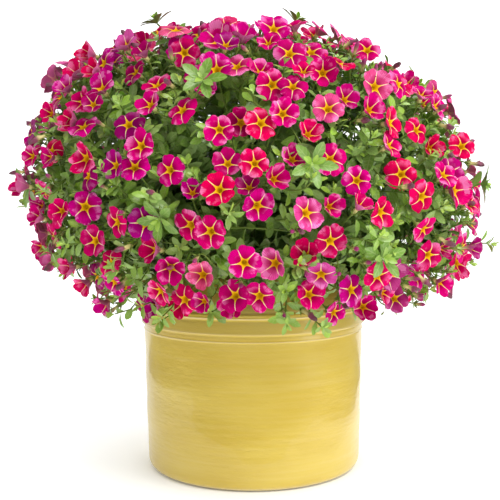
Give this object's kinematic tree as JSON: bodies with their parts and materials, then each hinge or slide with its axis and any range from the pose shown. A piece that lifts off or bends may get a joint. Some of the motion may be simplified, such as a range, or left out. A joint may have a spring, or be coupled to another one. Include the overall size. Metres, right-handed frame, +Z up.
{
  "type": "calibrachoa in a glazed pot",
  "caption": "Mounded calibrachoa plant with lobed cherry pink blooms starred in yellow, growing in soil in a round mustard-glazed stoneware pot.",
  "frame": {"origin": "centre of the pot's base, on the surface that it stands on", "axes": "+Z up along the pot's axis; -Y is the front, the side that the picture shows; +X to the right seen from the front"},
  "size_m": [0.4539, 0.4611, 0.4536],
  "materials": {
    "mustard_glaze": "gloss",
    "potting_soil": "matte",
    "petals": "matte",
    "foliage": "matte"
  },
  "bodies": {
    "root": {"pot": "mustard_glaze", "soil": "potting_soil", "flower_spray_01": "petals", "flower_spray_02": "petals", "flower_spray_03": "petals", "flower_spray_04": "petals", "flower_spray_05": "petals", "flower_spray_06": "petals", "flower_spray_07": "petals", "flower_spray_08": "petals", "flower_spray_09": "petals", "flower_spray_10": "petals", "flower_spray_11": "petals", "flower_spray_12": "petals", "flower_spray_13": "petals", "flower_spray_14": "petals", "flower_spray_15": "petals", "flower_spray_16": "petals", "flower_spray_17": "petals", "flower_spray_18": "petals", "flower_spray_19": "petals", "flower_spray_20": "petals", "flower_spray_21": "petals", "flower_spray_22": "petals", "flower_spray_23": "petals", "flower_spray_24": "petals", "flower_spray_25": "petals", "flower_spray_26": "petals", "flower_spray_27": "petals", "flower_spray_28": "petals", "flower_spray_29": "petals", "flower_spray_30": "petals", "leafy_stem_01": "foliage", "leafy_stem_02": "foliage", "leafy_stem_03": "foliage", "leafy_stem_04": "foliage", "leafy_stem_05": "foliage", "leafy_stem_06": "foliage", "leafy_stem_07": "foliage", "leafy_stem_08": "foliage", "leafy_stem_09": "foliage", "leafy_stem_10": "foliage", "leafy_stem_11": "foliage", "leafy_stem_12": "foliage", "leafy_stem_13": "foliage", "leafy_stem_14": "foliage", "leafy_stem_15": "foliage", "leafy_stem_16": "foliage", "leafy_stem_17": "foliage", "leafy_stem_18": "foliage", "leafy_stem_19": "foliage", "leafy_stem_20": "foliage", "leafy_stem_21": "foliage", "leafy_stem_22": "foliage", "leafy_stem_23": "foliage", "leafy_stem_24": "foliage"}
  },
  "joints": []
}
